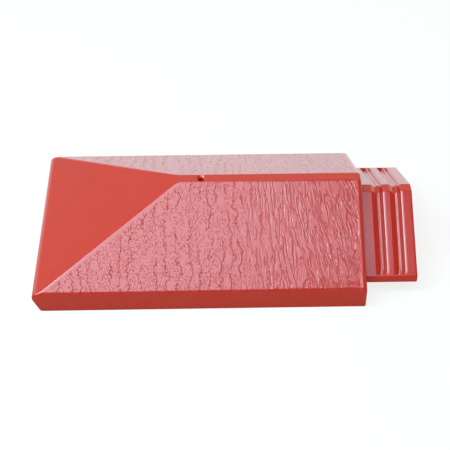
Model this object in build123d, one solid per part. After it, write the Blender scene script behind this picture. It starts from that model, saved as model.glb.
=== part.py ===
"""Glazed ceramic eaves tile: the hipped starter tile of a roof ridge, moulded in one piece.

The tile lies on its two side skirts. The ridge runs along X, with the hip at the low X end and
the spigot, which the next tile laps over, at the high X end. Z is up from the foot of the skirts.
"""
from build123d import *
from math import cos, radians, sin, tan
import os

# The cover: the part of the tile that stays in view on the roof
tile_width = 210.0
cover_length = 330.0
flank_pitch = 30.0
ridge_strip_width = 10.4
skirt_height = 24.8
wall = 13.0
ridge_edge_radius = 4.0
side_edge_radius = 1.2
shoulder_radius = 3.5

# The hipped end
hip_pitch = 22.4
hip_nose_length = 7.4
hip_nose_radius = 6.6
hip_foot_radius = 5.0
hip_blend_radius = 60.0

# The hollow under the cover
hollow_ridge_radius = 6.0
hollow_eave_radius = 5.0
hollow_nose_radius = 4.0

# The spigot that goes under the next tile
spigot_length = 53.4
spigot_wall = 10.0
spigot_edge_height = 8.3
spigot_end_radius = 1.8
lap_clearance = 1.5
lap_side_clearance = 8.4
shoulder_web = 14.0

# The weather channels across the spigot, each with a low bead between its two grooves
channel_count = 2
channel_start = 11.4
channel_pitch = 19.3
channel_depth = 2.6
channel_fall = 4.4
channel_rise = 2.8
channel_width = 13.0
bead_from_start = 7.7
bead_height = 1.4
channel_end_lip = 3.0
land_radius = 1.4
groove_radius = 0.9
bead_radius = 1.0

# The nail hole through the ridge
nail_hole_diameter = 6.0
nail_head_diameter = 10.8
nail_head_depth = 2.4
nail_hole_from_hip = 165.4

# How far cutting shapes run past the tile, and how close two places are to count as one
margin = 40.0
touch = 0.01

# Worked out from the sizes above
flank_slope = tan(radians(flank_pitch))
hip_run = cos(radians(hip_pitch))
hip_rise = sin(radians(hip_pitch))
half_width = tile_width / 2
half_strip = ridge_strip_width / 2
ridge_height = skirt_height + (half_width - half_strip) * flank_slope
tile_end = cover_length + spigot_length
wall_drop = wall / cos(radians(flank_pitch))
web_start = cover_length - shoulder_web
hollow_half_width = half_width - wall
spigot_top = ridge_height - wall_drop - lap_clearance
spigot_half_width = hollow_half_width - lap_side_clearance
spigot_eave = spigot_top - (spigot_half_width - half_strip) * flank_slope
spigot_underside = spigot_eave - spigot_edge_height
skin_lap = channel_depth / 4
skin_depth = channel_depth + 2 * skin_lap
spigot_bend_radius = skin_depth + skin_lap


def roof_line(top, half_span):
    """Corners across a roof from eave to eave: down at the low Y side, over the ridge strip, down again."""
    eave = top - (half_span - half_strip) * flank_slope
    return [(-half_span, eave), (-half_strip, top), (half_strip, top), (half_span, eave)]


def hip_line(depth, top, foot):
    """Corners of the hipped end from the ridge down, `depth` inside its outer face."""
    nose = hip_nose_length - depth
    nose_x = depth * hip_rise - nose * hip_run
    nose_z = skirt_height - nose * hip_rise - depth * hip_run
    ridge_x = nose_x + (top - nose_z) * hip_run / hip_rise
    foot_x = nose_x + (nose_z - foot) * hip_rise / hip_run
    return [(ridge_x, top), (nose_x, nose_z), (foot_x, foot)]


def hipped_roof(section, profile, length):
    """What a section across the ridge and a side profile share."""
    ridge_run = Pos(-margin, 0, 0) * extrude(Plane.YZ * section, length + 3 * margin)
    cross_run = extrude(Plane.XZ * profile, tile_width, both=True)
    return ridge_run & cross_run


def roof_form():
    """The outer roof with its ridge and hips rounded, reaching past the tile on every open side."""
    eaves = roof_line(ridge_height, half_width + margin)
    section = make_face(Polyline((eaves[0][0], -margin), *eaves, (eaves[-1][0], -margin), close=True))
    hip = hip_line(0, ridge_height, -margin)
    end = cover_length + margin
    outline = FilletPolyline(
        (end, ridge_height), *hip, (end, -margin),
        radius=(0, hip_blend_radius, hip_nose_radius, 0, 0),
        close=True,
    )
    roof = hipped_roof(section, make_face(outline), end)
    flanks = [face for face in roof.faces() if 0.1 < abs(face.normal_at().Y) < 0.9]
    breaks = [
        edge
        for flank in flanks
        for edge in flank.edges()
        if abs(edge.center().Y) < half_width + margin / 2 and edge.center().X < cover_length
    ]
    return fillet(breaks, ridge_edge_radius)


def end_edges(solid, axis, end, floor):
    """The edges of a solid at its low (0) or high (-1) end along an axis, above a floor height."""
    return solid.edges().group_by(axis)[end].filter_by_position(Axis.Z, floor + touch, ridge_height + touch)


def cover():
    """The outside of the cover: the roof cut to the skirts, the foot and the shoulder, edges rounded."""
    reach = cover_length + margin
    block = Pos(cover_length - reach / 2, 0, ridge_height) * Box(reach, tile_width, 2 * ridge_height)
    body = roof_form() & block
    foot = body.edges().filter_by(Axis.Y).group_by(Axis.Z)[0].sort_by(Axis.X)[0]
    body = fillet(foot, hip_foot_radius)
    body = fillet(end_edges(body, Axis.X, -1, skirt_height), shoulder_radius)
    sides = end_edges(body, Axis.Y, 0, 0) + end_edges(body, Axis.Y, -1, 0)
    return fillet(sides, side_edge_radius)


def hollow():
    """The open underside of the cover, one wall thickness inside it."""
    top = ridge_height - wall_drop
    eaves = roof_line(top, hollow_half_width)
    section = FilletPolyline(
        (eaves[0][0], -margin), *eaves, (eaves[-1][0], -margin),
        radius=(0, hollow_eave_radius, hollow_ridge_radius, hollow_ridge_radius, hollow_eave_radius, 0),
        close=True,
    )
    hip = hip_line(wall, top, -margin)
    profile = FilletPolyline(
        (web_start, top), *hip, (web_start, -margin),
        radius=(0, hip_blend_radius - wall, hollow_nose_radius, 0, 0),
        close=True,
    )
    return hipped_roof(make_face(section), make_face(profile), web_start)


def channel_corners(start):
    """Corners of one channel as (x, depth) with the radius at each: fall, groove, bead, groove, rise."""
    return [
        ((start, 0), land_radius),
        ((start + channel_fall, channel_depth), groove_radius),
        ((start + bead_from_start, channel_depth - bead_height), bead_radius),
        ((start + channel_width - channel_rise, channel_depth), groove_radius),
        ((start + channel_width, 0), land_radius),
    ]


def skin_profile(channels):
    """Side view of the spigot's upper skin, as (x, depth), with a number of channels in its top."""
    corners = [((web_start, 0), 0)]
    for index in range(channels):
        corners += channel_corners(cover_length + channel_start + index * channel_pitch)
    corners += [((tile_end, 0), 0), ((tile_end, skin_depth), 0), ((web_start, skin_depth), 0)]
    points, radii = zip(*corners)
    return make_face(FilletPolyline(*points, radius=radii, close=True))


def across(path, place):
    """The plane across a path at its start or end, with x along the ridge and y into the tile."""
    return Plane(origin=path @ place, x_dir=(1, 0, 0), z_dir=path % place)


def channelled_skin():
    """The upper skin bent over the ridge: channels between the two lips, and plain outside them."""
    lip = spigot_half_width - channel_end_lip
    path = Plane.YZ * FilletPolyline(*roof_line(spigot_top, lip), radius=spigot_bend_radius)
    skin = sweep(across(path, 0) * skin_profile(channel_count), path=path)
    lip_run = 3 * channel_end_lip
    skin += extrude(across(path, 0) * skin_profile(0), -lip_run)
    skin += extrude(across(path, 1) * skin_profile(0), lip_run)
    return skin


def spigot():
    """The lowered tongue that the next tile laps over, still solid inside."""
    core_top = spigot_top - (skin_depth - skin_lap) / cos(radians(flank_pitch))
    eaves = roof_line(core_top, spigot_half_width)
    outline = Polyline((eaves[0][0], spigot_underside), *eaves, (eaves[-1][0], spigot_underside), close=True)
    length = tile_end - web_start
    height = spigot_top - spigot_underside
    core = Pos(web_start, 0, 0) * extrude(Plane.YZ * make_face(outline), length)
    block = Pos(web_start + length / 2, 0, spigot_top) * Box(length, 2 * spigot_half_width, 2 * height)
    tongue = (core + channelled_skin()) & block
    tongue = fillet(end_edges(tongue, Axis.X, -1, spigot_underside), spigot_end_radius)
    floor = spigot_underside
    sides = end_edges(tongue, Axis.Y, 0, floor) + end_edges(tongue, Axis.Y, -1, floor)
    return fillet(sides.filter_by(Axis.X), side_edge_radius)


def spigot_hollow():
    """The open underside of the spigot, one wall below its top and open through the shoulder web."""
    top = spigot_top - spigot_wall / cos(radians(flank_pitch))
    half_span = half_strip + (top - spigot_underside) / flank_slope
    outline = Polyline(
        (-hollow_half_width, -margin),
        (-hollow_half_width, spigot_underside),
        (-half_span, spigot_underside),
        (-half_strip, top),
        (half_strip, top),
        (half_span, spigot_underside),
        (hollow_half_width, spigot_underside),
        (hollow_half_width, -margin),
        close=True,
    )
    return Pos(web_start, 0, 0) * extrude(Plane.YZ * make_face(outline), tile_end - web_start + margin)


def nail_hole():
    """The nail hole with its sunk rim, through the ridge strip."""
    shaft = Cylinder(nail_hole_diameter / 2, ridge_height)
    taper = Cone(nail_hole_diameter / 2, nail_head_diameter / 2, nail_head_depth)
    hole = Pos(0, 0, ridge_height) * shaft + Pos(0, 0, ridge_height - nail_head_depth / 2) * taper
    return Pos(nail_hole_from_hip, 0, 0) * hole


def eaves_tile():
    """The whole tile in one piece, with the middle of its length over the origin."""
    tile = cover() + spigot()
    tile -= hollow()
    tile -= spigot_hollow()
    tile -= nail_hole()
    return Pos(-tile.bounding_box().center().X, 0, 0) * tile


os.makedirs("parts", exist_ok=True)
tile = eaves_tile()
tile.label = "eaves_tile"
export_step(tile, "parts/eaves_tile.step")
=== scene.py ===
"""Looks of a glazed ceramic eaves tile: its moulded form, slate relief, glaze, light and camera."""

import bmesh
import bpy
import numpy as np
from math import acos, cos, hypot, pi, radians, sin, tan
from mathutils import Matrix, Vector


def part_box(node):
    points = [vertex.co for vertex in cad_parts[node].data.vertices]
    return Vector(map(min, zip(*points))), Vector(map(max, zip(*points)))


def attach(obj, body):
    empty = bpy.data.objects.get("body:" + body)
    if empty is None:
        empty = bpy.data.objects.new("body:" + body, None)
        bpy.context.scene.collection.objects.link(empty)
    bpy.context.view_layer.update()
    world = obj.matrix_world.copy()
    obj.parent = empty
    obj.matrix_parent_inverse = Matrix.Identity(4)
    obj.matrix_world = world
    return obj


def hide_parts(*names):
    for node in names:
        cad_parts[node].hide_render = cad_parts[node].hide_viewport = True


MM = 0.001

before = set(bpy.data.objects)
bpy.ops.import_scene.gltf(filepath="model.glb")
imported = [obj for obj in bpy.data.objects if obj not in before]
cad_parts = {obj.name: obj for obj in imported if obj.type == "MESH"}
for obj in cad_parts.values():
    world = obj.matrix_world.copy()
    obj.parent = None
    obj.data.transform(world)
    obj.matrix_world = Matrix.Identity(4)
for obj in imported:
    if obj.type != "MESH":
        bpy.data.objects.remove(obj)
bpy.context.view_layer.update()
tile_low, tile_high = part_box("eaves_tile")

# The tile's sizes, in metres
WIDTH = tile_high.y - tile_low.y
RIDGE_HEIGHT = tile_high.z
HIP_TO_SHOULDER = 327.8 * MM
SPIGOT_LENGTH = 53.4 * MM
STRIP_WIDTH = 10.4 * MM
WALL = 13 * MM
SHOULDER_WEB = 14 * MM
NOSE_LENGTH = 9.4 * MM
FLANK_PITCH = radians(30)
HIP_PITCH = radians(22.4)

# Places along the ridge and across it, worked out from the sizes
TILE_END = tile_high.x
SHOULDER = TILE_END - SPIGOT_LENGTH
HIP_CORNER = SHOULDER - HIP_TO_SHOULDER
WEB_START = SHOULDER - SHOULDER_WEB
HALF_WIDTH = WIDTH / 2
HALF_STRIP = STRIP_WIDTH / 2
SKIRT_HEIGHT = RIDGE_HEIGHT - (HALF_WIDTH - HALF_STRIP) * tan(FLANK_PITCH)
NOSE_X = HIP_CORNER - NOSE_LENGTH * cos(HIP_PITCH)
NOSE_Z = SKIRT_HEIGHT - NOSE_LENGTH * sin(HIP_PITCH)
FOOT_X = NOSE_X + NOSE_Z * tan(HIP_PITCH)
HIP_TOP = HIP_CORNER + (RIDGE_HEIGHT - SKIRT_HEIGHT) / tan(HIP_PITCH)
HIP_TURN = acos(cos(HIP_PITCH) * cos(FLANK_PITCH))
MARGIN = 5 * MM

# Radii of the moulded edges, and the run over which a hip edge takes on the strip's radius
STRIP_RADIUS = 2.2 * MM
HIP_RADIUS = 6 * MM
RADIUS_CHANGE = 30 * MM
HIP_BLEND_RADIUS = 35 * MM
NOSE_RADIUS = 6.6 * MM
FOOT_RADIUS = 5 * MM
SHOULDER_RADIUS = 3.5 * MM
SIDE_RADIUS = 1.2 * MM
HOLLOW_RIDGE_RADIUS = 6 * MM
HOLLOW_EAVE_RADIUS = 5 * MM
HOLLOW_NOSE_RADIUS = 4 * MM

# The spigot that goes under the next tile
LAP_CLEARANCE = 1.5 * MM
LAP_SIDE_CLEARANCE = 7.2 * MM
SPIGOT_WALL = 10 * MM
SPIGOT_EDGE_HEIGHT = 6.4 * MM
SPIGOT_END_RADIUS = 1.8 * MM
SPIGOT_TOP = RIDGE_HEIGHT - WALL / cos(FLANK_PITCH) - LAP_CLEARANCE
SPIGOT_HALF_WIDTH = HALF_WIDTH - WALL - LAP_SIDE_CLEARANCE
SPIGOT_EAVE = SPIGOT_TOP - (SPIGOT_HALF_WIDTH - HALF_STRIP) * tan(FLANK_PITCH)
SPIGOT_UNDERSIDE = SPIGOT_EAVE - SPIGOT_EDGE_HEIGHT

# Its two weather channels: the corners of one channel's profile, with a bead between two grooves,
# how far the corners are softened, and the runs over which the first groove and the rest of the
# channel rise to the lip before each eave
CHANNEL_STARTS = [SHOULDER + 11.6 * MM, SHOULDER + 30.2 * MM]
CHANNEL_RUN = np.array([0, 4.2, 6.1, 6.8, 8.3, 10.2, 10.9, 11.5, 12.3, 13.3]) * MM
CHANNEL_DEPTHS = np.array([0, 2.5, 2.7, 1.5, 1.4, 2.9, 1.3, 0.6, 0.2, 0]) * MM
FIRST_GROOVE_END = 5.6 * MM
CHANNEL_SOFTNESS = 0.12 * MM
SOFTENING_STEPS = 9
CHANNEL_LIP = 2.4 * MM
FIRST_LIP_RUN = 0.8 * MM
SECOND_LIP_RUN = 6 * MM

# The nail hole: its place, its shaft, and its rim as (radius, depth) in millimetres
NAIL_HOLE = SHOULDER - 164.6 * MM
NAIL_RADIUS = 3 * MM
NAIL_RIM = [(3.0, 1.9), (3.2, 1.6), (3.6, 1.25), (4.6, 0.4), (4.95, 0.2), (5.3, 0.07), (5.6, 0)]

# The slate relief: the seed of its noise and, in millimetres, the spacing of its cracks, the
# depths of its cracks, curls and strokes in the bump, the depth of the valleys that the mesh has
# along them, and the depth of the hip's wrinkles, which both have
RELIEF_SEED = 7
GRAIN_SPACING = 11
CRACK_DEPTH = 0.4
CURL_DEPTH = 0.21
STROKE_DEPTH = 0.68
VALLEY_DEPTH = 0.1
WRINKLE_DEPTH = 0.05

# The glaze: its colour, the darker colour that it leans to at random and that paints shade into
# the cracks and curls, and the depth in millimetres of its fine unevenness
GLAZE_COLOUR = (0.54, 0.017, 0.008, 1)
# Painted shade: the cracks and curls of the relief are mixed towards this darker red
GLAZE_DARK_TONE_AND_SHADE = (0.42, 0.007, 0.003, 1)
PEEL_DEPTH = 0.008

# How finely the meshes are divided: steps across each flank and the strip, rows along the hip for
# each step across it, the first places down a side, and the insets of the rows round an end face
FLANK_STEPS = 86
STRIP_STEPS = 6
ROWS_PER_STEP = 2
EDGE_STEPS = [0.5 * MM, 1.3 * MM, 2.4 * MM]
SHOULDER_INSETS = [1 * MM, 2.2 * MM, 3.8 * MM]
SPIGOT_INSETS = [0.5 * MM, 1.2 * MM, 2.2 * MM]

# Faces that turn more than this from each other keep a sharp edge
SHARP_ANGLE = radians(65)


def smooth_max(first, second, blend):
    """The larger of two distances, rounded over where they differ by less than the blend."""
    overlap = np.maximum(blend - np.abs(first - second), 0)
    return np.maximum(first, second) + overlap ** 2 / (4 * blend)


def rounding(radius, turn):
    """The blend that rounds an edge to a radius, where the two faces' normals are a turn apart."""
    return 4 * radius * (1 - cos(turn / 2))


def flank_distance(points, top):
    """How far points lie outside the two flanks of a roof whose ridge strip is at a height."""
    y, z = points.T[1:]
    return (np.abs(y) - HALF_STRIP) * sin(FLANK_PITCH) + (z - top) * cos(FLANK_PITCH)


def cover_distance(points):
    """How far points lie outside the rounded cover, below zero inside it."""
    x, y, z = points.T
    hip = (HIP_CORNER - x) * sin(HIP_PITCH) + (z - SKIRT_HEIGHT) * cos(HIP_PITCH)
    end = (NOSE_X - x) * cos(HIP_PITCH) + (NOSE_Z - z) * sin(HIP_PITCH)
    ridge = smooth_max(z - RIDGE_HEIGHT, hip, rounding(HIP_BLEND_RADIUS, HIP_PITCH))
    on_hip = np.clip((HIP_TOP - x) / RADIUS_CHANGE, 0, 1)
    strip_blend = rounding(STRIP_RADIUS, FLANK_PITCH)
    blend = strip_blend * (1 - on_hip) + rounding(HIP_RADIUS, HIP_TURN) * on_hip
    roof = smooth_max(ridge, flank_distance(points, RIDGE_HEIGHT), blend)
    body = smooth_max(roof, end, rounding(NOSE_RADIUS, pi / 2))
    body = smooth_max(body, x - SHOULDER, rounding(SHOULDER_RADIUS, pi / 2))
    body = smooth_max(body, np.abs(y) - HALF_WIDTH, rounding(SIDE_RADIUS, pi / 2))
    foot = smooth_max(end, -z, rounding(FOOT_RADIUS, pi / 2 - HIP_PITCH))
    return np.maximum(body, foot)


def channel_depth(x, y):
    """Depth of the weather channels at places on the spigot, with their corners softened."""
    depth = np.zeros_like(x)
    for start in CHANNEL_STARTS:
        run = np.where(x - start < FIRST_GROOVE_END, FIRST_LIP_RUN, SECOND_LIP_RUN)
        inside = np.clip((SPIGOT_HALF_WIDTH - CHANNEL_LIP - np.abs(y)) / run, 0, 1)
        for shift in np.linspace(-CHANNEL_SOFTNESS, CHANNEL_SOFTNESS, SOFTENING_STEPS):
            groove = np.interp(x - start + shift, CHANNEL_RUN, CHANNEL_DEPTHS)
            depth += groove * inside * inside * (3 - 2 * inside) / SOFTENING_STEPS
    return depth


def spigot_distance(points):
    """How far points lie outside the rounded spigot, below zero inside it."""
    x, y, z = points.T
    strip_blend = rounding(STRIP_RADIUS, FLANK_PITCH)
    roof = smooth_max(z - SPIGOT_TOP, flank_distance(points, SPIGOT_TOP), strip_blend)
    sides = np.abs(y) - SPIGOT_HALF_WIDTH
    body = smooth_max(roof + channel_depth(x, y), sides, rounding(SIDE_RADIUS, pi / 2))
    return smooth_max(body, x - TILE_END, rounding(SPIGOT_END_RADIUS, pi / 2))


def settle(rows, distance, rounds=6):
    """Draws the points that lie outside a rounded form onto its surface."""
    points = rows.reshape(-1, 3)
    step = 0.002 * MM
    for _ in range(rounds):
        changes = [distance(points + move) - distance(points - move) for move in np.eye(3) * step]
        slope = np.stack([change / (2 * step) for change in changes], axis=1)
        outside = np.maximum(distance(points), 0)
        points = points - slope * (outside / (slope ** 2).sum(axis=1))[:, None]
    return points.reshape(rows.shape)


def roof_heights(y, top):
    """Heights of a sharp-edged roof across the ridge."""
    return np.minimum(top, top - (np.abs(y) - HALF_STRIP) * tan(FLANK_PITCH))


def row_down_sides(across, heights, x, foot_x, foot_z):
    """One row of points: up from one side's foot, over the roof, and down to the other side's."""
    top = np.stack([np.full_like(across, x), across, heights], axis=1)
    sides = []
    for edge in (top[0], top[-1]):
        foot = np.array([foot_x, edge[1], foot_z])
        length = np.linalg.norm(foot - edge)
        near = [step for step in EDGE_STEPS if step < length / 2]
        near += [length / 2] * (len(EDGE_STEPS) - len(near))
        places = near + [length * 0.65, length]
        sides.append([edge + (foot - edge) * place / max(length, MM) for place in places])
    return np.vstack([sides[0][::-1], top, sides[1]])


def cover_rows():
    """The cover's points in rows, from under the hipped end over the ridge to the shoulder face."""
    flank = np.linspace(HALF_WIDTH, HALF_STRIP, FLANK_STEPS + 1)
    strip = np.linspace(-HALF_STRIP, HALF_STRIP, STRIP_STEPS + 1)
    across = np.concatenate([-flank[:-1], strip, flank[-2::-1]])

    # Rows before this place share one foot on each side
    fan_x = HIP_CORNER + 12 * MM

    # Each row is a place along the ridge, with the most height that the tile has there. The rows of
    # the end face go by the share of the nose's height that is left above them.
    under = [(fan_x, 0), (FOOT_X + 6.5 * MM, 0), (FOOT_X + 4 * MM, 0), (FOOT_X + 1.8 * MM, 0)]
    left = np.concatenate([np.linspace(1, 0.4, 12), np.linspace(0.36, 0.06, 6)])
    end_face = [(FOOT_X + (NOSE_X - FOOT_X) * (1 - share), NOSE_Z * (1 - share)) for share in left]
    row_step = (HIP_TOP - HIP_CORNER) / (FLANK_STEPS * ROWS_PER_STEP)
    hip_start = np.linspace(NOSE_X, HIP_CORNER, 8)[:-1]
    hip_rows = np.arange(HIP_CORNER, HIP_TOP - row_step / 2, row_step)
    hip = [(x, SKIRT_HEIGHT + (x - HIP_CORNER) * tan(HIP_PITCH)) for x in (*hip_start, *hip_rows)]
    ridge_count = round((SHOULDER - HIP_TOP) / row_step)
    ridge = [(x, RIDGE_HEIGHT) for x in np.linspace(HIP_TOP, SHOULDER, ridge_count + 1)]
    rows = []
    for x, cap in under + end_face + hip + ridge:
        heights = np.minimum(cap, roof_heights(across, RIDGE_HEIGHT))
        rows.append(row_down_sides(across, heights, x, max(x, fan_x), 0))
    for inset in SHOULDER_INSETS:
        inner = across * (1 - inset / HALF_WIDTH)
        flanks = roof_heights(inner, RIDGE_HEIGHT) - inset / cos(FLANK_PITCH)
        heights = np.minimum(RIDGE_HEIGHT - inset, flanks)
        rows.append(row_down_sides(inner, heights, SHOULDER, SHOULDER, 0))
    return np.array(rows)


def spigot_rows():
    """The spigot's points in rows, from inside the shoulder web to the end face."""
    # Across the spigot, the points are closest where the channels rise to their lips
    lip = SPIGOT_HALF_WIDTH - CHANNEL_LIP
    starts = [HALF_STRIP, HALF_STRIP + 1.5 * MM, lip - 2 * FIRST_LIP_RUN, lip + 0.5 * MM]
    ends = starts[1:] + [SPIGOT_HALF_WIDTH]
    counts = [3, 22, 8, 4]
    runs = [np.linspace(a, b, n, endpoint=False) for a, b, n in zip(starts, ends, counts)]
    flank = np.concatenate([*runs, [SPIGOT_HALF_WIDTH]])
    strip = np.linspace(-HALF_STRIP, HALF_STRIP, 9)[1:-1]
    across = np.concatenate([-flank[::-1], strip, flank])

    # Rows lie at the channels' corners, and closely between them from just before the first one
    corners = np.add.outer(CHANNEL_STARTS, CHANNEL_RUN).ravel()
    corners = np.concatenate([corners - CHANNEL_SOFTNESS, corners + CHANNEL_SOFTNESS])
    fine_start = CHANNEL_STARTS[0] - MM
    places = [*np.linspace(WEB_START, fine_start, 4), *corners]
    for x in np.linspace(fine_start, TILE_END, 96)[1:]:
        if np.abs(corners - x).min() > CHANNEL_SOFTNESS:
            places.append(x)
    rows = []
    for x in sorted(places):
        depth = channel_depth(np.full_like(across, x), across)
        flanks = roof_heights(across, SPIGOT_TOP) - depth / cos(FLANK_PITCH)
        heights = np.minimum(SPIGOT_TOP - depth, flanks)
        rows.append(row_down_sides(across, heights, x, x, SPIGOT_UNDERSIDE))
    for inset in SPIGOT_INSETS:
        inner = across * (1 - inset / SPIGOT_HALF_WIDTH)
        flanks = roof_heights(inner, SPIGOT_TOP) - inset / cos(FLANK_PITCH)
        heights = np.minimum(SPIGOT_TOP - inset, flanks)
        rows.append(row_down_sides(inner, heights, TILE_END, TILE_END, SPIGOT_UNDERSIDE))
    return np.array(rows)


def new_object(name, points, faces):
    """A mesh object from points and faces, with doubles merged and its faces' normals recalculated.
    """
    mesh = bpy.data.meshes.new(name)
    mesh.from_pydata(points, [], faces)
    work = bmesh.new()
    work.from_mesh(mesh)
    bmesh.ops.remove_doubles(work, verts=work.verts, dist=0.001 * MM)
    bmesh.ops.dissolve_degenerate(work, edges=work.edges, dist=0.001 * MM)
    bmesh.ops.recalc_face_normals(work, faces=work.faces)
    work.to_mesh(mesh)
    work.free()
    piece = bpy.data.objects.new(name, mesh)
    bpy.context.scene.collection.objects.link(piece)
    return piece


def loaf(name, rows, start_is_flat):
    """A closed mesh over rows of points, with flat faces at its underside and its far end.

    A flat start gets a face of its own, and otherwise the first row lies in the underside. The
    triangles of one half mirror those of the other.
    """
    count, width = rows.shape[:2]
    index = np.arange(count * width).reshape(count, width)
    a, b, c, d = index[:-1, :-1], index[1:, :-1], index[1:, 1:], index[:-1, 1:]
    left = np.zeros_like(a, bool)
    left[:, : width // 2] = True
    first = np.where(left[..., None], np.stack([a, b, c], -1), np.stack([a, b, d], -1))
    second = np.where(left[..., None], np.stack([a, c, d], -1), np.stack([b, c, d], -1))
    faces = [*first.reshape(-1, 3).tolist(), *second.reshape(-1, 3).tolist(), index[-1].tolist()]
    underside = [*index[:, 0], *index[::-1, -1]]
    if start_is_flat:
        faces.append(index[0].tolist())
    else:
        underside += [*index[0, -2:0:-1]]
    faces.append([int(i) for i in underside])
    return new_object(name, rows.reshape(-1, 3).tolist(), faces)


def prism(name, outline, place, start, end):
    """A closed mesh that carries an outline along an axis; place turns (u, v, run) into a point."""
    count = len(outline)
    points = [place(u, v, run) for run in (start, end) for u, v in outline]
    sides = [(i, (i + 1) % count, count + (i + 1) % count, count + i) for i in range(count)]
    return new_object(name, points, [range(count), range(count, 2 * count), *sides])


def rounded(corners, radii, segments=8):
    """A closed outline from corners, with an arc of the given radius at each."""
    corners = [Vector(corner) for corner in corners]
    befores, afters = corners[-1:] + corners[:-1], corners[1:] + corners[:1]
    outline = []
    for before, corner, after, radius in zip(befores, corners, afters, radii):
        if radius == 0:
            outline.append(corner)
            continue
        back, ahead = (before - corner).normalized(), (after - corner).normalized()
        half = back.angle(ahead) / 2
        centre = corner + (back + ahead).normalized() * radius / sin(half)
        first = corner + back * radius / tan(half)
        last = corner + ahead * radius / tan(half)
        for step in range(segments + 1):
            ray = (first - centre).lerp(last - centre, step / segments)
            outline.append(centre + ray.normalized() * radius)
    return outline


def bake_modifiers(piece):
    """Turns what the modifiers make into the piece's own plain mesh."""
    evaluated = piece.evaluated_get(bpy.context.evaluated_depsgraph_get())
    mesh = bpy.data.meshes.new_from_object(evaluated)
    piece.modifiers.clear()
    piece.data = mesh


def combine(piece, tool, operation):
    """The piece with a tool cut away, joined or kept in common, and the tool removed."""
    change = piece.modifiers.new("combine", "BOOLEAN")
    change.operation = operation
    change.solver = "MANIFOLD"
    change.object = tool
    bake_modifiers(piece)
    bpy.data.objects.remove(tool)
    return piece


def hollow():
    """The open space under the cover, one wall inside it, cut with the hip's slope at its end."""
    top = RIDGE_HEIGHT - WALL / cos(FLANK_PITCH)
    half = HALF_WIDTH - WALL
    eave = top - (half - HALF_STRIP) * tan(FLANK_PITCH)
    side = [(half, -MARGIN), (half, eave), (HALF_STRIP, top)]
    corners = [(-u, v) for u, v in side] + side[::-1]
    radii = [0, HOLLOW_EAVE_RADIUS, HOLLOW_RIDGE_RADIUS]
    section = rounded(corners, radii + radii[::-1])
    nose_x = NOSE_X + WALL * (sin(HIP_PITCH) + cos(HIP_PITCH))
    nose_z = NOSE_Z + WALL * (sin(HIP_PITCH) - cos(HIP_PITCH))
    ridge_x = nose_x + (top - nose_z) / tan(HIP_PITCH)
    foot_x = nose_x + (nose_z + MARGIN) * tan(HIP_PITCH)

    # The side profile stands high above the section, so that there is room for its arc at the ridge
    over = top + 3 * MARGIN
    corners = [(WEB_START, over), (ridge_x, over), (ridge_x, top), (nose_x, nose_z)]
    corners += [(foot_x, -MARGIN), (WEB_START, -MARGIN)]
    profile = rounded(corners, [0, 0, HIP_BLEND_RADIUS - WALL, HOLLOW_NOSE_RADIUS, 0, 0])
    along = prism("hollow", section, lambda u, v, run: (run, u, v), HIP_CORNER - MARGIN, WEB_START)
    across = prism("hollow_end", profile, lambda u, v, run: (u, run, v), -HALF_WIDTH, HALF_WIDTH)
    return combine(along, across, "INTERSECT")


def spigot_hollow():
    """The open space under the spigot and through the shoulder web."""
    top = SPIGOT_TOP - SPIGOT_WALL / cos(FLANK_PITCH)
    wide = HALF_WIDTH - WALL
    narrow = HALF_STRIP + (top - SPIGOT_UNDERSIDE) / tan(FLANK_PITCH)
    side = [(wide, -MARGIN), (wide, SPIGOT_UNDERSIDE), (narrow, SPIGOT_UNDERSIDE)]
    side.append((HALF_STRIP, top))
    outline = side + [(-u, v) for u, v in side[::-1]]
    start, end = WEB_START - 0.01 * MM, TILE_END + MARGIN
    return prism("spigot_hollow", outline, lambda u, v, run: (run, u, v), start, end)


def nail_hole(segments=48):
    """The nail hole with its sunk rim, through the ridge."""
    levels = [(NAIL_RADIUS, 0)]
    levels += [(radius * MM, RIDGE_HEIGHT - depth * MM) for radius, depth in NAIL_RIM]
    levels.append((NAIL_RIM[-1][0] * MM, RIDGE_HEIGHT + MARGIN))
    turns = np.linspace(0, 2 * pi, segments, endpoint=False)
    points = [(NAIL_HOLE + r * cos(turn), r * sin(turn), z) for r, z in levels for turn in turns]
    faces = [range(segments), range(len(points) - segments, len(points))]
    for ring in range(len(levels) - 1):
        for i in range(segments):
            low, low_next = ring * segments + i, ring * segments + (i + 1) % segments
            faces.append((low, low_next, low_next + segments, low + segments))
    return new_object("nail_hole", points, faces)


class Field:
    """A socket in a node tree, so that sums on it are written as plain expressions."""

    def __init__(self, nodes, socket):
        self.nodes = nodes
        self.socket = socket

    def math(self, operation, *values):
        """A Math node on this socket and other sockets or numbers."""
        inputs = dict(enumerate((self, *values)))
        return self.nodes.add("ShaderNodeMath", {"operation": operation}, inputs)

    def __add__(self, other):
        return self.math("ADD", other)

    __radd__ = __add__

    def __mul__(self, other):
        return self.math("MULTIPLY", other)

    __rmul__ = __mul__

    def __sub__(self, other):
        return self.math("SUBTRACT", other)

    def __rsub__(self, other):
        return self * -1 + other

    def __truediv__(self, other):
        return self.math("DIVIDE", other)

    def __neg__(self):
        return self * -1

    def __abs__(self):
        return self.math("ABSOLUTE")

    def ramp(self, low, high):
        """From 0 at the low value or less, smoothly up to 1 at the high value or more."""
        inputs = {"Value": self, "From Min": low, "From Max": high}
        return self.nodes.add("ShaderNodeMapRange", {"interpolation_type": "SMOOTHSTEP"}, inputs)

    def slope(self, low, high):
        """From 0 at the low value or less, straight up to 1 at the high value or more."""
        inputs = {"Value": self, "From Min": low, "From Max": high}
        return self.nodes.add("ShaderNodeMapRange", inputs=inputs)

    def scaled(self, factor):
        """A vector times a number."""
        inputs = {0: self, "Scale": factor}
        return self.nodes.add("ShaderNodeVectorMath", {"operation": "SCALE"}, inputs)

    def parts(self):
        """The X, Y and Z of a vector."""
        kind, inputs = "ShaderNodeSeparateXYZ", {0: self}
        return [self.nodes.add(kind, inputs=inputs, output=axis) for axis in "XYZ"]


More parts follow.
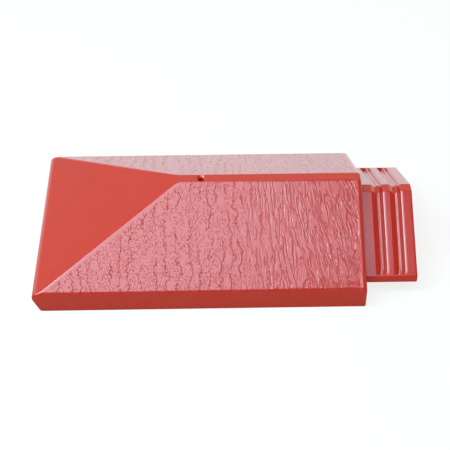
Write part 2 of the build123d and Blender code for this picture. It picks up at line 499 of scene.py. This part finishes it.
class Nodes:
    """Adds nodes to one node tree, of a material or of a modifier alike."""

    def __init__(self, tree):
        self.tree = tree

    def add(self, kind, settings=None, inputs=None, output=0):
        """One output of a new node: its settings come first, then its sockets' values or links."""
        node = self.tree.nodes.new(kind)
        for name, value in (settings or {}).items():
            setattr(node, name, value)
        for name, value in (inputs or {}).items():
            if isinstance(value, Field):
                self.tree.links.new(value.socket, node.inputs[name])
            else:
                node.inputs[name].default_value = value
        return Field(self, node.outputs[output]) if node.outputs else None

    def vector(self, x, y, z):
        """A vector from its X, Y and Z."""
        return self.add("ShaderNodeCombineXYZ", inputs={0: x, 1: y, 2: z})

    def noise(self, place, detail, output=0):
        """Cloudy values around a half, one cloud to each unit of the place."""
        inputs = {"Vector": place, "Scale": 1, "Detail": detail, "Roughness": 0.55}
        return self.add("ShaderNodeTexNoise", {"noise_dimensions": "3D"}, inputs, output)

    def clouds(self, across, along, seed, detail=1):
        """Noise over a flat place, its own for each seed."""
        return self.noise(self.vector(across, along, seed), detail)

    def mix_colours(self, share, first, second):
        """A colour between two, by a share from 0 to 1."""
        inputs = {"Factor": share, 6: first, 7: second}
        return self.add("ShaderNodeMix", {"data_type": "RGBA"}, inputs, 2)


def relief_cover(x, y, z):
    """How far the relief covers the flanks and the hip, and which places are on the hip.

    The place and the margins, over which the relief fades out before each edge, are in millimetres.
    """
    flank_rise = (HALF_WIDTH / MM - abs(y)) * tan(FLANK_PITCH)
    hip_rise = (x - HIP_CORNER / MM) * tan(HIP_PITCH)
    past_hip_edge = (flank_rise - hip_rise) / hypot(tan(FLANK_PITCH), tan(HIP_PITCH))
    above_skirt = z.ramp(SKIRT_HEIGHT / MM - 1.2, SKIRT_HEIGHT / MM + 0.2)
    off_strip = (abs(y) - HALF_STRIP / MM).ramp(0.2, 1.2)
    off_shoulder = (SHOULDER / MM - x).ramp(4.2, 7.2)
    flank = (-past_hip_edge).ramp(2.6, 4.6) * off_strip * off_shoulder * above_skirt
    hip = past_hip_edge.ramp(2.5, 5.0) * above_skirt
    return flank, hip, past_hip_edge.ramp(-0.1, 0.1)


def slate_relief(nodes, place, seed, spacing):
    """The parts of the slate relief at a place in metres.

    A gap is the distance to the nearest line of a kind, in millimetres. The other parts are shares
    from 0 to 1: how far the relief covers a face, and how much of a kind of line is there. Each
    noise is divided by its clouds' width across the lines and their length along them.
    """
    x, y, z = place.scaled(1 / MM).parts()
    flank, hip, on_hip = relief_cover(x, y, z)

    # Towards the shoulder the lines crowd together and lean
    crowding = x.ramp(-20, 110)
    crowded = x + x.ramp(-10, 150) * 60
    lean = x.ramp(0, 110) * 0.42
    across = (crowded + lean * (y + 55)) * (1 - on_hip) + y * on_hip
    along = y * (1 - on_hip) + x * on_hip

    # What bends the lines, from wide sweeps to a fine jitter
    wander = nodes.clouds(across / 24, along / 16, seed) - 0.5
    spread = nodes.clouds(across / 34, along / 90, seed + 1.5, 0) - 0.5
    kinks = nodes.clouds(across / 9, along / 5, seed + 2.5, 2) - 0.5
    flat = nodes.vector(across, along, seed * 37.0)
    jitter = nodes.noise(flat.scaled(1 / 2.6), 1, "Color").parts()
    ragged = (jitter[0] - 0.5) * 7
    along_bent = along + (jitter[1] - 0.5) * 4

    # Cracks that run down the slope, one for each spacing, with breaks in them
    columns = (across + ragged * 0.9 + wander * 15 + spread * 16 + kinks * 6) / spacing
    crack_gap = abs(columns.math("FRACT") - 0.5) * spacing
    cracks = nodes.clouds(across / 9, along / 32, seed + 4.5).ramp(0.40, 0.50)

    # Short curls between the cracks, in patches, and few towards the shoulder
    worms = nodes.clouds((across + ragged * 0.5) / 2.4, along_bent / 3.4, seed + 6.0, 0)
    curl_gap = abs(worms - 0.5) * 5.5
    patches = nodes.clouds(across / 9, along / 18, seed + 5.0)
    pieces = nodes.clouds(across / 2.2, along / 2.8, seed + 3.0)
    curls = patches.ramp(0.30, 0.46) * pieces.ramp(0.45, 0.51) * (1 - crowding * 0.95)

    # Long strokes that take their place towards the shoulder
    across_bent = across + ragged * 0.35 + kinks * 4.5
    waves = nodes.clouds(across_bent / 6.5, along_bent / 26, seed + 9.0, 0)
    stroke_gap = abs(waves - 0.5) * 8.5
    strokes = nodes.clouds(across / 8, along / 20, seed + 7.0).ramp(0.38, 0.48) * crowding

    return {
        "flank": flank,
        "hip": hip,
        "crowding": crowding,
        "crack_gap": crack_gap,
        "cracks": cracks,
        "curl_gap": curl_gap,
        "curls": curls,
        "stroke_gap": stroke_gap,
        "strokes": strokes,
    }


def relief_tree(material):
    """The node tree that presses the slate relief into a surface, inwards only."""
    tree = bpy.data.node_groups.new("slate_relief", "GeometryNodeTree")
    nodes = Nodes(tree)
    sockets = {}
    for name, kind, value in (
        ("Tile", "NodeSocketGeometry", None),
        ("Depth", "NodeSocketFloat", 1.0),
        ("Grain spacing", "NodeSocketFloat", 10.0),
        ("Seed", "NodeSocketInt", 0),
    ):
        socket = tree.interface.new_socket(name, in_out="INPUT", socket_type=kind)
        sockets[name] = socket.identifier
        if value is not None:
            socket.default_value = value
    tree.interface.new_socket("Tile", in_out="OUTPUT", socket_type="NodeSocketGeometry")
    tile, depth, spacing, seed = [nodes.add("NodeGroupInput", output=name) for name in sockets]
    place = nodes.add("GeometryNodeInputPosition")
    relief = slate_relief(nodes, place, seed, spacing)

    # Wide, shallow valleys along the cracks and strokes, and faint wrinkles on the hip
    crack = (1 - relief["crack_gap"].slope(0.4, 1.6)) * relief["cracks"]
    stroke = (1 - relief["stroke_gap"].slope(0.3, 1.4)) * relief["strokes"]
    pressed = crack.math("MAXIMUM", stroke) * VALLEY_DEPTH * relief["flank"]
    wrinkle = (1 - relief["stroke_gap"].ramp(0, 0.8)) * WRINKLE_DEPTH * relief["hip"]
    sink = (pressed + wrinkle) * depth * -MM
    shift = nodes.add("GeometryNodeInputNormal").scaled(sink)
    shape = nodes.add("GeometryNodeSetPosition", inputs={"Geometry": tile, "Offset": shift})
    shape = nodes.add("GeometryNodeRealizeInstances", inputs={"Geometry": shape})
    shape = nodes.add("GeometryNodeSetMaterial", inputs={"Geometry": shape, "Material": material})
    nodes.add("NodeGroupOutput", inputs={0: shape})
    return tree, sockets


def press_relief(piece, material):
    """Presses the slate relief into the piece's own mesh."""
    tree, sockets = relief_tree(material)
    change = piece.modifiers.new("relief", "NODES")
    change.node_group = tree
    change[sockets["Depth"]] = 1.0
    change[sockets["Grain spacing"]] = float(GRAIN_SPACING)
    change[sockets["Seed"]] = RELIEF_SEED
    bake_modifiers(piece)


def moulded_tile(material):
    """The tile in one piece: cover and spigot, less the space under them and the nail hole."""
    cover = loaf("glazed_tile", settle(cover_rows(), cover_distance), start_is_flat=False)
    press_relief(cover, material)
    spigot = loaf("spigot", settle(spigot_rows(), spigot_distance), start_is_flat=True)
    combine(cover, spigot, "UNION")
    for tool in (hollow(), spigot_hollow(), nail_hole()):
        combine(cover, tool, "DIFFERENCE")
    return cover


def look_from(camera, target, distance, down, yaw, roll):
    """Points the camera at a target from a distance: looking down, turned and rolled by angles."""
    ahead = Vector((sin(yaw) * cos(down), cos(yaw) * cos(down), -sin(down)))
    right = Vector((cos(yaw), -sin(yaw), 0))
    below = ahead.cross(right)
    side = cos(roll) * right + sin(roll) * below
    up = sin(roll) * right - cos(roll) * below
    turn = Matrix((side, up, -ahead)).transposed().to_4x4()
    camera.matrix_world = Matrix.Translation(Vector(target) - ahead * distance) @ turn


def make_camera():
    """The camera of the photograph, fitted to the tile's outlines."""
    data = bpy.data.cameras.new("camera")
    data.lens = 91.77
    data.sensor_width = 36
    data.shift_x = -0.0023
    data.shift_y = -0.0451
    camera = bpy.data.objects.new("camera", data)
    bpy.context.scene.collection.objects.link(camera)
    look_from(
        camera,
        target=(1.8 * MM, 0, 44.8 * MM),
        distance=1201.6 * MM,
        down=radians(42.85),
        yaw=radians(1.05),
        roll=radians(0.06),
    )
    bpy.context.scene.camera = camera


def area_lamp(name, place, target, size, radiance, colour):
    """A soft rectangular lamp that faces a target and shows at a radiance in reflections."""
    data = bpy.data.lights.new(name, "AREA")
    data.color = colour
    data.shape = "RECTANGLE"
    data.size, data.size_y = size
    data.energy = radiance * pi * size[0] * size[1]
    lamp = bpy.data.objects.new(name, data)
    lamp.location = place
    lamp.rotation_mode = "QUATERNION"
    lamp.rotation_quaternion = (Vector(target) - Vector(place)).to_track_quat("-Z", "Y")
    bpy.context.scene.collection.objects.link(lamp)


def make_lamps():
    """A wide soft lamp over the tile, and a narrow cooler one from the hip's end."""
    area_lamp(
        "softbox",
        place=(-0.3, -0.15, 1.2),
        target=(-0.1, 0, 0),
        size=(1.22, 0.8),
        radiance=3.1,
        colour=(0.76, 0.98, 1.16),
    )
    area_lamp(
        "kicker",
        place=(-0.95, -0.2, 1.0),
        target=(0.08, -0.05, 0),
        size=(0.42, 0.8),
        radiance=11,
        colour=(0.4, 1, 1.02),
    )


def new_material(name):
    """An empty material, and the means to add nodes to it."""
    material = bpy.data.materials.new(name)
    material.use_nodes = True
    material.node_tree.nodes.clear()
    return material, Nodes(material.node_tree)


def glaze_material():
    """The glossy brick-red glaze, with the relief's finer lines in its bump."""
    material, nodes = new_material("brick_red_glaze")
    place = nodes.add("ShaderNodeTexCoord", output="Object")
    relief = slate_relief(nodes, place, RELIEF_SEED, GRAIN_SPACING)
    crowding = relief["crowding"]
    crack_edge = relief["crack_gap"].slope(crowding * 0.45, 0.6 + crowding * 1.2)
    crack = (1 - crack_edge) * relief["cracks"]
    curl = (1 - relief["curl_gap"].ramp(0, 0.42)) * relief["curls"]
    stroke = (1 - relief["stroke_gap"].slope(0.3, 1.2)) * relief["strokes"]
    wrinkle = (1 - relief["stroke_gap"].ramp(0, 0.8)) * relief["hip"]
    cover = relief["flank"]
    groove = (crack * CRACK_DEPTH).math("MAXIMUM", stroke * STROKE_DEPTH)
    height = (groove + curl * CURL_DEPTH) * cover * -1 - wrinkle * WRINKLE_DEPTH

    # The slight unevenness of a fired glaze, fine in its surface and broad in its colour and gloss
    peel = nodes.noise(place.scaled(1 / (1.4 * MM)), 1)
    height = height + peel * PEEL_DEPTH
    bump = nodes.add("ShaderNodeBump", inputs={"Height": height, "Distance": MM, "Strength": 1.0})
    clouds = nodes.noise(place.scaled(1 / (18 * MM)), 3)
    # Painted shade: the base colour darkens along the cracks and curls, less towards the shoulder;
    # the same mask thins the coat there, which dulls their gloss
    groove_shade_and_dulling = (crack + curl * 0.6) * (1 - crowding * 0.6) * cover
    shade = 1 - groove_shade_and_dulling * 0.12 + (clouds - 0.5) * 0.16
    inputs = {
        "Base Color": nodes.mix_colours(shade.ramp(0.6, 1.1), GLAZE_DARK_TONE_AND_SHADE, GLAZE_COLOUR),
        "Roughness": 0.23 + (clouds - 0.5) * 0.08,
        "Normal": bump,
        "IOR": 1.75,
        "Coat Weight": 1 - groove_shade_and_dulling * 0.8,
        "Coat Roughness": 0.2,
        "Coat IOR": 1.3,
    }
    shader = nodes.add("ShaderNodeBsdfPrincipled", inputs=inputs)
    nodes.add("ShaderNodeOutputMaterial", inputs={"Surface": shader})
    return material


def rays(nodes):
    """Two shares: 1 in the camera's own view, and 1 in reflections and what shows through glass."""
    seen = nodes.add("ShaderNodeLightPath", output="Is Camera Ray")
    mirrored = nodes.add("ShaderNodeLightPath", output="Is Glossy Ray")
    through = nodes.add("ShaderNodeLightPath", output="Is Transmission Ray")
    return seen, mirrored.math("MAXIMUM", through)


def floor_material():
    """White paper with soft shadows; reflections show it pale behind the tile, and before it a
    painted shade warmed by a painted red bounce.
    """
    material, nodes = new_material("white_floor")
    paper = nodes.add("ShaderNodeBsdfDiffuse", inputs={"Color": (0.88, 0.86, 0.84, 1)})
    behind = nodes.add("ShaderNodeTexCoord", output="Object").parts()[1].ramp(-0.08, 0.08)
    seen, mirrored = rays(nodes)
    # In reflections the floor before the tile glows dark and warm, a painted shade with a painted
    # red bounce from the tile; behind the tile it glows pale
    tone = nodes.mix_colours(behind, (0.24, 0.2, 0.13, 1), (0.86, 0.92, 0.97, 1))
    tone = nodes.mix_colours(seen, tone, (1, 1, 1, 1))
    glow_and_painted_shade = nodes.add("ShaderNodeEmission", inputs={"Color": tone, "Strength": 1.0})
    share = (seen * 0.8).math("MAXIMUM", mirrored)
    shader = nodes.add("ShaderNodeMixShader", inputs={0: share, 1: paper, 2: glow_and_painted_shade})
    nodes.add("ShaderNodeOutputMaterial", inputs={"Surface": shader})
    return material


def make_floor():
    """A pale floor under the tile, out to beyond the picture."""
    reach = 4
    corners = [(-reach, -reach, 0), (reach, -reach, 0), (reach, reach, 0), (-reach, reach, 0)]
    floor = new_object("floor", corners, [(0, 1, 2, 3)])
    floor.data.materials.append(floor_material())


def make_world(fill, backdrop, dark):
    """Even fill light, white to the camera, with a pale wall behind the tile for reflections."""
    world = bpy.data.worlds.new("studio")
    world.use_nodes = True
    world.node_tree.nodes.clear()
    nodes = Nodes(world.node_tree)
    seen, mirrored = rays(nodes)
    y, z = nodes.add("ShaderNodeTexCoord", output="Generated").parts()[1:]

    # The wall is brightest up to 13 degrees, darkest from 19 to 31 and paler again above 40
    tone = 1 - z.ramp(0.22, 0.32) * 0.65 + z.ramp(0.52, 0.64) * 0.23
    wall = y.ramp(0.0, 0.6) * tone * (backdrop - dark) + dark
    strength = seen * (backdrop - fill) + mirrored * (wall - fill) + fill
    colour = nodes.mix_colours(seen, (1, 0.97, 0.86, 1), (1, 1, 1, 1))
    background = nodes.add("ShaderNodeBackground", inputs={"Color": colour, "Strength": strength})
    nodes.add("ShaderNodeOutputWorld", inputs={"Surface": background})
    bpy.context.scene.world = world


def finish_piece(piece, material):
    """Smooth shading with its sharp edges kept, the material, and its place on the CAD part."""
    piece.data.materials.clear()
    piece.data.materials.append(material)
    for face in piece.data.polygons:
        face.use_smooth = True
    piece.data.set_sharp_from_angle(angle=SHARP_ANGLE)
    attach(piece, "root")
    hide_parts("eaves_tile")


glaze = glaze_material()
tile = moulded_tile(glaze)
finish_piece(tile, glaze)
make_floor()
make_world(fill=0.63, backdrop=1.0, dark=0.08)
make_lamps()
make_camera()
bpy.context.scene.view_settings.view_transform = "Standard"
